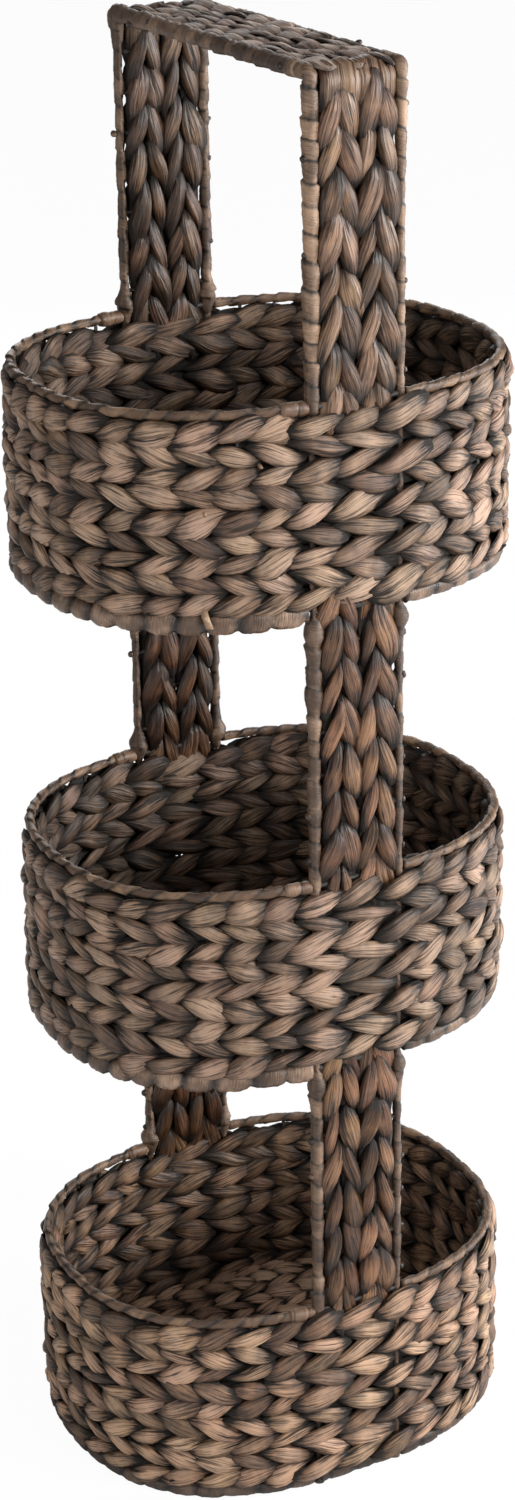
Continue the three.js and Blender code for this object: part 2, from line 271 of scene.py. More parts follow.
def winding(path, across, radius, strip, rng, lip, pillow, slant, tall=1.0, swell=EVEN):
    """A strip of leaf wound round a wire. At a distance u along the wire and an angle a round it, the
    turn is u / strip + slant * a / full circle, with strip a little uneven. The radius grows by lip from
    the start of a turn to its end, which lies on the next turn, bulges by pillow between its edges, and
    is crinkled at random. The section is tall times as high as it is wide, and swell scales it at
    distances along the wire."""
    points, along = resample(path, strip / RINGS_PER_STRIP)
    heading = unit(np.gradient(points, axis=0))
    side = np.cross(np.broadcast_to(across, heading.shape), heading)
    angle = np.linspace(-np.pi, np.pi, WINDING_SIDES + 1)
    turn = (along / strip + ripple(along, 1.7 * strip, 0.36, rng))[:, None] + slant * angle / (2 * np.pi)
    share = turn[:, :-1] % 1.0
    which = np.floor(turn[:, :-1]).astype(int) + 2
    uneven = rng.uniform(-1, 1, which.max() + 1)[which]
    crinkle = 0.09 * uneven + 0.045 * rng.uniform(-1, 1, share.shape)
    shape = 1 + lip * (share - 0.5) + pillow * (0.5 - np.abs(2 * share - 1) ** 4) + crinkle
    grown = radius * np.interp(along, *swell)[:, None] * shape
    around = (np.cos(angle[:-1])[:, None] * side[:, None, :]
              + tall * np.sin(angle[:-1])[:, None] * np.broadcast_to(across, side[:, None, :].shape))
    rings = points[:, None, :] + grown[..., None] * around
    leaf_map = np.stack([turn, np.broadcast_to(angle * radius, turn.shape)], -1)
    return rings[None], leaf_map[None], {}


def winding_finish(name, tones, seam_colour, shine, seam_width=0.09):
    """Leaf wound in turns: each turn has its own tone, fibres round the wire, a dark seam where the
    next turn starts, and a ridge at its edge. The seams are stain in the joint together with painted shade
    under the lapping edge, and a wide seam_width paints shade over the rounded edges of each turn too.
    It is lighter where the winding is pale."""
    material, paint = new_finish(name)
    leaf = paint.node("ShaderNodeUVMap", {"uv_map": "leaf"})
    turn = paint.node("ShaderNodeSeparateXYZ", None, {0: leaf}, 0)
    place = paint.node("ShaderNodeTexCoord", result="Object")
    wander = paint.node("ShaderNodeTexNoise", None, {"Vector": place, "Scale": 210.0, "Detail": 2.0})
    wound = turn + (wander - 0.5) * 0.16
    share = wound.fraction()
    own = paint.node("ShaderNodeTexWhiteNoise", {"noise_dimensions": "1D"}, {"W": wound.floor()})
    stretched = paint.node("ShaderNodeVectorMath", {"operation": "MULTIPLY"},
                           {0: leaf, 1: (26.0, 110.0, 1.0)})
    fibre = paint.node("ShaderNodeTexNoise", None, {"Vector": stretched, "Scale": 1.0, "Detail": 3.0})
    blotch = paint.node("ShaderNodeTexNoise", None, {"Vector": place, "Scale": 75.0, "Detail": 4.0})
    pale = paint.node("ShaderNodeAttribute", {"attribute_name": "pale"}, None, "Fac")
    tone = own * 0.28 + fibre * 0.6 + blotch * 0.95 + pale * 0.27 - 0.43
    colour = paint.node("ShaderNodeValToRGB", {"stops": tones}, {0: tone})
    # Dark towards both edges of each turn, fading in places: stain in the joint and painted shade.
    seam = share.step(0.0, seam_width) * (1.0 - share.step(1.0 - seam_width, 1.0) * 0.85)
    faint = seam + (1.0 - seam) * blotch.step(0.45, 0.7) * 0.7
    stained_and_shaded = faint.mix((*seam_colour, 1.0), colour)
    height = share * 0.5 + fibre * 0.8 + blotch * 0.6
    bump = paint.node("ShaderNodeBump", None,
                      {"Strength": 0.8, "Distance": 0.0011, "Height": height}, "Normal")
    shader = paint.node("ShaderNodeBsdfPrincipled", None, {
        "Base Color": stained_and_shaded, "Roughness": shine + fibre * 0.25, "Normal": bump,
        "Specular IOR Level": 0.36})
    paint.node("ShaderNodeOutputMaterial", None, {"Surface": shader})
    return material


ROD_TONES = [(0.10, (0.015, 0.009, 0.006)), (0.50, (0.075, 0.044, 0.027)), (0.95, (0.320, 0.206, 0.133))]
# The seams' colour: stain in the joints together with painted shade under the lapping edges.
SEAM_STAIN_AND_SHADE = (0.011, 0.0085, 0.0065)
rod_leaf = winding_finish("rod_winding_leaf", ROD_TONES, SEAM_STAIN_AND_SHADE, 0.30, 0.13)
bend = np.linspace(0.0, np.pi / 2, 9)
front_bend = np.stack([
    np.zeros(9),
    -(ROD_DEPTH - BEND_RADIUS) - BEND_RADIUS * np.cos(bend),
    HANDLE_LEVEL - BEND_RADIUS + BEND_RADIUS * np.sin(bend),
], -1)
half_arch = np.concatenate([[[0.0, -ROD_DEPTH, 0.001]], front_bend])
arch_line = np.concatenate([half_arch, (half_arch * [1, -1, 1])[::-1]])
ARCH_LENGTH = resample(arch_line, 0.01)[1][-1]
FRONT_CORNER = HANDLE_LEVEL - BEND_RADIUS + BEND_RADIUS * np.pi / 4
BACK_CORNER = ARCH_LENGTH - FRONT_CORNER
ROD_RADIUS = {"left": 0.0043, "right": 0.0030}
ROD_THICKNESS = {
    "left": ([0.0, 0.55, 0.75, FRONT_CORNER, BACK_CORNER, BACK_CORNER + 0.02],
             [0.86, 0.92, 1.05, 1.15, 1.15, 0.66]),
    "right": ([0.0, FRONT_CORNER - 0.1, FRONT_CORNER, BACK_CORNER, ARCH_LENGTH],
              [0.9, 0.95, 1.25, 1.25, 0.95]),
}
ROD_KNOTS = {
    "left": ((0.602, 0.6), (0.563, 0.3), (FRONT_CORNER, 0.05), (BACK_CORNER, 0.2), (0.297, 0.5),
             (ARCH_LENGTH - 0.445, 0.9), (ARCH_LENGTH - 0.750, 0.9), (ARCH_LENGTH - 0.140, 0.9)),
    "right": ((0.603, 1.0), (0.298, 0.9), (FRONT_CORNER, 0.2), (BACK_CORNER, 0.2),
              (ARCH_LENGTH - 0.445, 1.0), (ARCH_LENGTH - 0.750, 1.0), (ARCH_LENGTH - 0.140, 1.0)),
}
KNOT_LENGTH = 0.007
BASE_LEVEL = 0.003464
TIER_PITCH = 0.305
BASKET_HEIGHT = 0.1305
TIER_NAMES = ("bottom", "middle", "top")
BARE_ROD = 0.0021
ROD_STRIP, ROD_LIP, ROD_PILLOW, ROD_SLANT = 0.0145, 0.25, 0.08, 0.45
PALE_FOOT, PALE_RISE = 0.735, 0.04
for side_name, side in (("left", -1), ("right", 1)):
    rng = np.random.default_rng(11 + side)
    rod_line = arch_line + [side * ROD_SPACING, 0.0, 0.0]
    places = np.linspace(0.0, ARCH_LENGTH, 1500)
    thickness = np.interp(places, *ROD_THICKNESS[side_name]) + ripple(places, 0.011, 0.10, rng)
    for place, size in ROD_KNOTS[side_name]:
        thickness = thickness + size * np.exp(-((places - place) / KNOT_LENGTH) ** 2)
    height = np.minimum(places, ARCH_LENGTH - places)
    over_base = (height - BASE_LEVEL) % TIER_PITCH
    in_wall = (height < len(TIER_NAMES) * TIER_PITCH) & (over_base < BASKET_HEIGHT - 0.006)
    thickness = np.where(in_wall, BARE_ROD / ROD_RADIUS[side_name], thickness)
    rings, leaf_map, values = winding(rod_line, ACROSS, ROD_RADIUS[side_name], ROD_STRIP, rng,
                                      ROD_LIP, ROD_PILLOW, ROD_SLANT, swell=(places, thickness))
    on_front = rings[..., 1] < -0.9 * ROD_DEPTH
    values["pale"] = on_front * np.clip((rings[..., 2] - PALE_FOOT) / PALE_RISE, 0.0, 1.0)
    wound = (rings, leaf_map, values)
    leaf_piece(f"{side_name}_rod_winding", [wound], rod_leaf, "leaf_winding", "arch_frame")

PANEL_FOOT, PANEL_HEAD = BASE_LEVEL + BASKET_HEIGHT + 0.00333, BASE_LEVEL + TIER_PITCH - 0.00376
HANDLE_FOOT = PANEL_FOOT + 2 * TIER_PITCH
RUNG_PITCH = 0.027


def rung_places(low, high):
    """The middles of equal gaps of about RUNG_PITCH between two places."""
    gaps = round((high - low) / RUNG_PITCH)
    return low + (np.arange(gaps) + 0.5) * (high - low) / gaps


def plain_wire(path, radius, sides, across):
    """A round wire along a path, as rings square to it; radius may differ from point to point."""
    heading = unit(np.gradient(path, axis=0))
    side = np.cross(np.broadcast_to(across, heading.shape), heading)
    angle = np.linspace(0.0, 2 * np.pi, sides + 1)
    around = np.cos(angle[:-1])[:, None] * side[:, None, :] + np.sin(angle[:-1])[:, None] * across
    leaf_map = np.stack(np.meshgrid(distances(path), angle * 0.002, indexing="ij"), -1)
    return (path[:, None, :] + np.reshape(radius, (-1, 1, 1)) * around)[None], leaf_map[None], {}


def wire_finish(name, dull, scuffed, metal):
    """A plain round surface with scuffs of a second colour, which may be bare metal."""
    material, paint = new_finish(name)
    place = paint.node("ShaderNodeTexCoord", result="Object")
    scuff = paint.node("ShaderNodeTexNoise", None, {"Vector": place, "Scale": 240.0, "Detail": 4.0})
    worn = scuff.step(0.55, 0.75)
    colour = worn.mix((*dull, 1.0), (*scuffed, 1.0))
    shader = paint.node("ShaderNodeBsdfPrincipled", None, {
        "Base Color": colour, "Roughness": 0.5 + scuff * 0.2, "Metallic": worn * metal})
    paint.node("ShaderNodeOutputMaterial", None, {"Surface": shader})
    return material


stake_wire = wire_finish("stake_wire", (0.018, 0.014, 0.011), (0.075, 0.062, 0.052), 0.4)
UP = np.array([0.0, 0.0, 1.0])
DOWN = -UP
rung_ends = np.array([[-ROD_SPACING, 0.0, 0.0], [0.0, 0.0, 0.0], [ROD_SPACING, 0.0, 0.0]])
rung_spots = [(y, HANDLE_LEVEL) for y in rung_places(RUNG_CLEAR - ROD_DEPTH, ROD_DEPTH - RUNG_CLEAR)]
for depth in (-ROD_DEPTH, ROD_DEPTH):
    for tier in range(2):
        rung_spots += [(depth, z + tier * TIER_PITCH) for z in rung_places(PANEL_FOOT, PANEL_HEAD)]
    rung_spots += [(depth, z) for z in rung_places(HANDLE_FOOT, HANDLE_LEVEL - RUNG_CLEAR)]
RUNG_RADIUS = 0.0015
rungs = [plain_wire(rung_ends + [0.0, y, z], RUNG_RADIUS, 6, UP) for y, z in rung_spots]
leaf_piece("arch_rungs", rungs, stake_wire, "frame_wire", "arch_frame")

TIE_REACH = np.array([0.0, 0.0012, 0.0022, 0.0030, 0.0034])
TIE_RADIUS = np.array([0.0018, 0.0024, 0.0023, 0.0017, 0.0008])
TIES_MISSING = 0.55
rng = np.random.default_rng(21)
ties = []
for y, z in rung_spots:
    for side_name, side in (("left", -1), ("right", 1)):
        if rng.uniform() < TIES_MISSING:
            continue
        reach = side * (ROD_SPACING + 0.55 * ROD_RADIUS[side_name] + TIE_REACH * rng.uniform(0.8, 1.2))
        droop = rng.uniform(-0.3, 0.3, 2)[:, None] * TIE_REACH
        tie_line = np.stack([reach, y + droop[0], z + rng.uniform(-0.003, 0.003) + droop[1]], -1)
        ties.append(plain_wire(tie_line, TIE_RADIUS * rng.uniform(0.7, 1.1), 7, UP))
leaf_piece("rung_ties", ties, rod_leaf, "leaf_winding", "arch_frame")


# Base hoops: the wire round the foot of each basket, wound with wide strips of leaf that puff out between
# their edges. Short wires between the rods close the hoops: wound at the floor, bare behind the uprights.
HOOP_LENGTH, HOOP_DEPTH, OVAL_EXPONENT = 0.150, 0.1245, 2.43

oval_angle = np.linspace(-np.pi / 2, 1.5 * np.pi, 40001)
oval_cos, oval_sin = np.cos(oval_angle), np.sin(oval_angle)
oval = np.stack([
    HOOP_LENGTH * np.sign(oval_cos) * np.abs(oval_cos) ** (2 / OVAL_EXPONENT),
    HOOP_DEPTH * np.sign(oval_sin) * np.abs(oval_sin) ** (2 / OVAL_EXPONENT),
    np.zeros_like(oval_angle),
], -1)
oval_length = distances(oval)
GIRTH = oval_length[-1]
ROD_PLACE = np.interp(ROD_SPACING, oval[:10000, 0], oval_length[:10000])


def oval_line(along):
    """Points on a basket's plan line at distances from the middle of the front, counter-clockwise, and
    the outward direction there, which is the slope of |x / a| ^ n + |y / b| ^ n."""
    spot = follow(along, oval_length, oval, GIRTH)
    slope = np.abs(spot / [HOOP_LENGTH, HOOP_DEPTH, 1.0]) ** (OVAL_EXPONENT - 1)
    out = np.sign(spot) * slope / [HOOP_LENGTH, HOOP_DEPTH, 1.0]
    return spot, unit(out)


ROD_CLEAR = ROD_SPACING + 0.0041
END_START = np.interp(ROD_CLEAR, oval[:10000, 0], oval_length[:10000])
right_end = oval_line(np.linspace(END_START, GIRTH / 2 - END_START, 240))[0]
HOOP_ENDS = {"left": right_end * [-1, -1, 1], "right": right_end}
BASE_TONES = [(0.10, (0.016, 0.009, 0.006)), (0.5, (0.105, 0.063, 0.040)), (0.9, (0.350, 0.230, 0.155))]
# Wide seams darken each puffed turn towards both its edges: painted shade of the rounded turns, with the
# dark joint between them.
base_leaf = winding_finish("base_winding_leaf", BASE_TONES, (0.006, 0.005, 0.004), 0.28, 0.36)
# The bottom basket's base hoop and the wound rungs at the floor get much darker tones than the other base
# hoops: painted shade at the floor.
FOOT_SHADE_TONES = [(0.10, (0.010, 0.006, 0.004)), (0.5, (0.040, 0.024, 0.016)), (0.9, (0.130, 0.083, 0.055))]
shaded_foot_leaf = winding_finish("foot_winding_leaf_painted_shade", FOOT_SHADE_TONES, (0.004, 0.003, 0.003), 0.34, 0.24)
BASE_LIFT, THIN_LIFT = 0.0041, 0.0018
BASE_RADIUS, BASE_PILLOW = {"left": 0.0050, "right": 0.0036}, {"left": 0.50, "right": 0.25}
BASE_STRIP, BASE_LIP, BASE_SLANT, BASE_TALL = 0.0190, 0.10, 0.25, 1.24
HOOP_WIRE = 0.0022
rung_line = np.linspace([-ROD_SPACING, 0.0, 0.0], [ROD_SPACING, 0.0, 0.0], 40)
base_rungs, foot_windings = [], []
for tier, tier_name in enumerate(TIER_NAMES):
    level = BASE_LEVEL + tier * TIER_PITCH + (BASE_LIFT if tier else THIN_LIFT)
    for side_name, line in HOOP_ENDS.items():
        rng = np.random.default_rng(40 + 2 * tier + (side_name == "left"))
        wrap = side_name if tier else "right"
        wound = winding(line + level * UP, DOWN, BASE_RADIUS[wrap], BASE_STRIP, rng,
                        BASE_LIP, BASE_PILLOW[wrap], BASE_SLANT, BASE_TALL)
        node = f"{tier_name}_{side_name}_base_hoop"
        leaf_piece(f"{node}_winding", [wound], base_leaf if tier else shaded_foot_leaf, "leaf_winding", node)
    for depth in (-ROD_DEPTH, ROD_DEPTH):
        rung = rung_line + [0.0, depth, level]
        base_rungs.append(plain_wire(rung, HOOP_WIRE, 8, UP))
        if tier == 0:
            rng = np.random.default_rng(60 + (depth > 0))
            foot_windings.append(winding(rung, DOWN, BASE_RADIUS["right"], BASE_STRIP, rng,
                                         BASE_LIP, BASE_PILLOW["right"], BASE_SLANT, BASE_TALL))
leaf_piece("base_rungs", base_rungs, stake_wire, "frame_wire", "arch_frame")
leaf_piece("foot_windings", foot_windings, shaded_foot_leaf, "leaf_winding", "arch_frame")


# Stake cages: dark wires that stand in the walls and run under the floors. Only their tops and
# undersides show, so the solids of the frame stay and get the wire's finish.
for tier_name in TIER_NAMES:
    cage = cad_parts[f"{tier_name}_stake_cage"]
    cage.data.materials.clear()
    cage.data.materials.append(stake_wire)


# Walls: nine rounds of twining in each basket. Strands of flat dark-stained leaf go round in pairs and
# change places between every two stakes, and the twist turns the other way in the next round, so each
# stake carries a plump slanting stitch outside and one inside. Ends tucked in between close each round.
STAKES_PER_END = 16
COURSES = 9
WEAVE_FLOOR, WEAVE_TOP = (0.0058, 0.0084, 0.0084), 0.1264
STITCH_RINGS = 9
face_across = np.linspace(-1.0, 1.0, 6)
LEAF_ACROSS = np.append(face_across, 0.0)
LEAF_DOME = np.append((1 - np.abs(face_across) ** 3.2) ** 0.7, -0.6)
LEAF_MAP = np.append(face_across, [2.0, 3.0])
ON_FACE = np.append(1 - face_across ** 2, 0.0)


def stitches(line, places, pitch, side, hand, form, rng, further=0.0):
    """Stitches of leaf at places along a line of stakes, outside it (side 1) or inside (side -1). From one
    tip to the other, u goes from -1 to 1: the stitch slants across the row by sway, stands off the line
    by reach, dives to it at the tips, the far one deeper by tilt, and its breadth is (1 - |u| ^ blunt) ^
    0.8 of the full one. A stitch is length pitches long, with its own size, lean, twist and folds."""
    reach, sway, breadth, thickness, length, blunt, tilt = form
    count = len(places)

    def pick(low, high):
        return rng.uniform(low, high, (count, 1))

    u = np.linspace(-1.0, 1.0, STITCH_RINGS)
    steps = 0.5 * length * u * pick(0.86, 1.18)
    along = np.reshape(pitch, (-1, 1)) * (steps + pick(-0.06, 0.06))
    spot, out, up = line(np.reshape(places, (-1, 1)) + along)
    out = side * out
    belly = np.abs(u + pick(-0.22, 0.22) * (1 - u ** 2))
    full = np.maximum(1 - belly ** (blunt * pick(0.8, 1.3)), 0.012) ** 0.8
    slant = np.sin(0.5 * np.pi * np.clip(steps / 0.65, -1, 1))
    rise = side * hand * sway * pick(0.55, 1.45) * slant + pick(-0.0014, 0.0014)
    stand = reach * pick(0.75, 1.3) + np.reshape(further, (-1, 1))
    stand = stand - (reach + 0.001) * np.abs(u) ** 2.4 - tilt * u
    middle = spot + out * stand[..., None] + up * rise[..., None]
    heading = unit(np.gradient(middle, axis=1))
    facing = unit(out - heading * np.sum(out * heading, axis=-1, keepdims=True))
    beside = np.cross(heading, facing)
    lean = (pick(-0.28, 0.28) + pick(-0.45, 0.45) * u)[..., None]
    leaned = facing * np.cos(lean) + beside * np.sin(lean)
    beside = beside * np.cos(lean) - facing * np.sin(lean)
    half_wide = (0.5 * breadth * pick(0.76, 1.30) * full)[..., None]
    half_thick = (0.5 * thickness * pick(0.85, 1.2) * (0.3 + 0.7 * full))[..., None]
    folds = rng.uniform(-0.36, 0.36, (count, 1, len(LEAF_ACROSS)))
    across = LEAF_ACROSS + pick(-0.3, 0.3)[..., None] * ON_FACE
    height = LEAF_DOME + folds * ON_FACE
    rings = middle[:, :, None] + (half_wide * across)[..., None] * beside[:, :, None]
    rings = rings + (half_thick * height)[..., None] * leaned[:, :, None]
    leaf_along = np.broadcast_to((steps * np.mean(pitch))[..., None], (count, STITCH_RINGS, len(LEAF_MAP)))
    leaf_map = np.stack([leaf_along, np.broadcast_to(LEAF_MAP * 0.5 * breadth, leaf_along.shape)], -1)
    # The open value is highest a little off the leaf's middle, away from the deeper tip, and falls to its
    #     tips and edges, where the finish darkens the leaf: stain pooled there together with painted shade
    #     of its rounded form and of the recesses where it dives.
    edge = np.where(LEAF_DOME < 0, 1.0, 0.45 * LEAF_ACROSS ** 4)
    opened = 1 - ((u[:, None] + 60 * tilt) / (0.58 + 0.08 * blunt)) ** 2 - edge
    # Stitches on the far face, inside a wall, under a floor or behind a plait, get a lower range of tone:
    # painted shade.
    tone = pick(0.0, 1.0) if side > 0 else pick(-0.22, 0.50)
    return rings, leaf_map, {"tone": tone[..., None], "open": opened[None]}


def tucked_ends(line, along, breadth, thickness):
    """The flat band of leaf ends inside a row, along the line of the stakes: a section of six points."""
    spot, out, up = line(along)
    flat = np.array([[-0.5, 0.0], [-0.35, 0.5], [0.35, 0.5], [0.5, 0.0], [0.35, -0.5], [-0.35, -0.5]])
    beside = np.cross(unit(np.gradient(spot, axis=0)), out)
    rings = (spot[:, None] + (flat[:, :1] * breadth) * beside[:, None]
             + (flat[:, 1:] * thickness) * out[:, None])
    leaf_map = np.stack(np.meshgrid(along, np.linspace(0.0, 2 * breadth, 7), indexing="ij"), -1)
    # An open value of -1 gives the band the gap colour all over: stain together with painted shade.
    return rings[None], leaf_map[None], {"tone": 0.0, "open": -1.0}


def leaf_finish(name, tones, gap_colour, shine):
    """Flat leaf, dark with stain: fibres and folds run along the strand, each stitch has its own tone, and
    the colour goes to the gap colour where the strand goes down between its neighbours, stain pooled there
    together with painted shade of the recess. The open value also paints shade: lighter in a stitch's
    middle, darker to its edges and tips."""
    material, paint = new_finish(name)
    leaf = paint.node("ShaderNodeUVMap", {"uv_map": "leaf"})
    tone = paint.node("ShaderNodeAttribute", {"attribute_name": "tone"}, None, "Fac")
    opened = paint.node("ShaderNodeAttribute", {"attribute_name": "open"}, None, "Fac")
    place = paint.node("ShaderNodeTexCoord", result="Object")

    def along_leaf(length, width, detail):
        """Noise drawn out along the strand: repeats per metre along it and across it."""
        drawn = paint.node("ShaderNodeVectorMath", {"operation": "MULTIPLY"},
                           {0: leaf, 1: (length, width, 1.0)})
        moved = paint.node("ShaderNodeCombineXYZ", None, {2: tone * 37.0})
        spot = paint.node("ShaderNodeVectorMath", {"operation": "ADD"}, {0: drawn, 1: moved})
        return paint.node("ShaderNodeTexNoise", None, {"Vector": spot, "Scale": 1.0, "Detail": detail})

    fibre = along_leaf(60.0, 1350.0, 3.0)
    crease = along_leaf(36.0, 360.0, 2.0)
    blotch = paint.node("ShaderNodeTexNoise", None, {"Vector": place, "Scale": 85.0, "Detail": 4.0})
    slit = 1.0 - crease.step(0.32, 0.44)
    hair = 1.0 - fibre.step(0.38, 0.50)
    # The open value lightens each stitch's middle and darkens its edges and tips: painted shade of its
    # rounded form.
    shade = tone * 0.50 + fibre * 0.25 + blotch * 0.75 + opened * 0.66 - 0.725 - slit * 0.4 - hair * 0.36
    colour = paint.node("ShaderNodeValToRGB", {"stops": tones}, {0: shade})
    own = paint.node("ShaderNodeTexWhiteNoise", {"noise_dimensions": "1D"}, {"W": tone * 91.0})
    dyed_and_shaded = paint.node("ShaderNodeHueSaturation", None, {
        "Hue": 0.490 + own * 0.015, "Saturation": 0.87 + blotch * 0.4, "Color": colour})
    # Where the open value is low the leaf goes to the gap colour: stain pooled between the strands together
    # with painted shade of the recesses.
    bare_and_lit = (opened + (crease - 0.5) * 1.9 + (fibre - 0.5) * 2.0 + (blotch - 0.5) * 0.4).step(0.10, 0.42)
    stained_and_shaded = bare_and_lit.mix((*gap_colour, 1.0), dyed_and_shaded)
    height = fibre * 0.5 + crease * 1.5
    bump = paint.node("ShaderNodeBump", None,
                      {"Strength": 0.8, "Distance": 0.0018, "Height": height}, "Normal")
    shader = paint.node("ShaderNodeBsdfPrincipled", None, {
        "Base Color": stained_and_shaded, "Roughness": shine + fibre * 0.25 + (1.0 - bare_and_lit) * 0.3, "Normal": bump,
        "Specular IOR Level": 0.3})
    paint.node("ShaderNodeOutputMaterial", None, {"Surface": shader})
    return material


WALL_TONES = {
    "bottom": [(0.05, (0.029, 0.017, 0.011)), (0.45, (0.142, 0.088, 0.055)), (0.88, (0.412, 0.276, 0.186))],
    "middle": [(0.05, (0.023, 0.014, 0.009)), (0.45, (0.111, 0.071, 0.047)), (0.88, (0.322, 0.223, 0.159))],
    "top": [(0.05, (0.025, 0.015, 0.010)), (0.45, (0.120, 0.077, 0.051)), (0.88, (0.350, 0.243, 0.174))],
}
# The gap colour of the leaf: dark stain together with painted shade where the strands dive between each
# other.
LEAF_STAIN_AND_SHADE = (0.0085, 0.0058, 0.0038)
# A form of stitch: reach, sway, breadth, thickness, length in pitches, blunt and tilt.
WALL_STITCH = (0.0029, 0.0040, 0.0152, 0.0066, 1.74, 1.75, 0.0010)
TOP_ROUND_STITCH = (0.0029, 0.0036, 0.0176, 0.0066, 1.74, 1.8, 0.0010)
WALL_TUCKED = (0.0124, 0.0026)
end_places = np.linspace(ROD_PLACE, GIRTH / 2 - ROD_PLACE, STAKES_PER_END + 2)
half_places = np.concatenate([[0.0], end_places])
stake_places = np.concatenate([half_places, GIRTH / 2 + half_places])
STATIONS = len(stake_places)
stake_pitch = 0.5 * ((np.roll(stake_places, -1) - np.roll(stake_places, 1)) % GIRTH)
RIGHT_ROD = 1
rod_stations = np.isin(np.arange(STATIONS), (1, STATIONS // 2 - 1, STATIONS // 2 + 1, STATIONS - 1))
ROD_REACH = 0.0019
at_back = np.clip(oval_line(stake_places)[0][:, 1] / HOOP_DEPTH, 0.0, 1.0)
BACK_DROOP = 0.0030
# Stitches beside the rod that shows are pushed along the wall, away from it.
ROD_SQUEEZE = np.zeros(STATIONS)
ROD_SQUEEZE[[-1, 0, 2, 3]] = 0.004, 0.0065, -0.0055, -0.002


def wall_round(course, level, form, droop, rng):
    """The stitches of one round of twining at a level, outside and inside, and the ends tucked in between.
    Its level is a little uneven, and it hangs lower by droop at the back. In every second round the
    right-hand rod of the front is left to show."""
    hand = 1 if course % 2 == 0 else -1
    sags = rng.uniform(-0.0007, 0.0007, STATIONS) - droop * at_back

    def line(along):
        spot, out = oval_line(along)
        sag = np.interp(along, stake_places, sags, period=GIRTH)
        return spot + (level + sag)[..., None] * UP, out, np.broadcast_to(UP, out.shape)

    shown = np.ones(STATIONS, bool)
    shown[RIGHT_ROD] = hand > 0
    places = stake_places + np.where(hand < 0, ROD_SQUEEZE, 0.0)
    further = ROD_REACH * rod_stations
    outside = stitches(line, places[shown], stake_pitch[shown], 1, hand, form, rng, further[shown])
    inside = stitches(line, stake_places, stake_pitch, -1, hand, form, rng, further)
    return [outside, inside, tucked_ends(line, np.linspace(0.0, GIRTH, 121), *WALL_TUCKED)]


for tier, tier_name in enumerate(TIER_NAMES):
    course_pitch = (WEAVE_TOP - WEAVE_FLOOR[tier]) / COURSES
    wall_leaf = leaf_finish(f"{tier_name}_wall_leaf", WALL_TONES[tier_name], LEAF_STAIN_AND_SHADE, 0.38)
    for course in range(COURSES):
        rng = np.random.default_rng(100 + 20 * tier + course)
        level = BASE_LEVEL + tier * TIER_PITCH + WEAVE_FLOOR[tier] + (course + 0.5) * course_pitch
        form, droop = (TOP_ROUND_STITCH, BACK_DROOP) if course == COURSES - 1 else (WALL_STITCH, 0.0)
        node = f"{tier_name}_course_{course + 1}"
        strands = wall_round(course, level, form, droop, rng)
        leaf_piece(f"{node}_twine", strands, wall_leaf, "leaf_weave", node)


# Cut ends: where a strand of the top basket's wall ran out, its pale end pokes out between two rounds. Each
# is a round stub of leaf stalk, cut square; the longest hangs down over the base hoop.
# Each end: place along the wall from the middle of the front, height, drop, radius and share of the reach.
CUT_ENDS = (
    (-0.0962, 0.0128, 0.0092, 0.0023, 1.0),
    (-0.1057, 0.1133, 0.0010, 0.0011, 0.68),
    (-0.0628, 0.1002, 0.0010, 0.0011, 0.68),
    (-0.0948, 0.0740, 0.0020, 0.0012, 0.68),
)
END_REACH = np.array([0.0, 0.0040, 0.0072, 0.0086, 0.0090])
END_DROP = np.array([0.0, 0.0, 0.2, 0.65, 1.0])
stalk = wire_finish("cut_stalk", (0.210, 0.130, 0.074), (0.420, 0.300, 0.200), 0.0)
cut_ends = []
for place, height, drop, radius, share in CUT_ENDS:
    spot, out = oval_line(GIRTH + place + 0.35 * drop * END_DROP)
    reach = share * END_REACH
    level = BASE_LEVEL + 2 * TIER_PITCH + height - drop * END_DROP
    stub_line = spot + reach[:, None] * out + level[:, None] * UP
    cut_ends.append(plain_wire(stub_line, radius, 7, np.cross(UP, out[0])))
leaf_piece("cut_ends", cut_ends, stalk, "leaf_weave",
           "top_course_1", "top_course_6", "top_course_8", "top_course_9")


# Rim hoops: the wire round the mouth of each basket, closely wound with strips of leaf that slant. At the
# rods each half is bound off with a paler sleeve.
RIM_TONES = [(0.10, (0.026, 0.015, 0.009)), (0.50, (0.104, 0.059, 0.034)), (0.90, (0.340, 0.215, 0.130))]
rim_leaf = winding_finish("rim_winding_leaf", RIM_TONES, SEAM_STAIN_AND_SHADE, 0.24, 0.22)
SLEEVE_TONES = [(0.08, (0.044, 0.023, 0.014)), (0.45, (0.135, 0.078, 0.048)), (0.88, (0.300, 0.195, 0.128))]
sleeve_leaf = winding_finish("rim_sleeve_leaf", SLEEVE_TONES, SEAM_STAIN_AND_SHADE, 0.26)
RIM_RADIUS, RIM_STRIP, RIM_LIP, RIM_PILLOW, RIM_SLANT = 0.0029, 0.0150, 0.40, 0.10, 1.3
SLEEVE_LENGTH, SLEEVE_RADIUS, SLEEVE_STRIP = 0.016, 0.0041, 0.0115
SLEEVE_LIP, SLEEVE_PILLOW, SLEEVE_SLANT = 0.06, 0.14, 0.3
SLEEVE_SWELL = ((0.0, 0.002, 0.014, 0.017), (0.8, 1.0, 1.05, 0.85))
rim_rungs, rim_sleeves = [], []
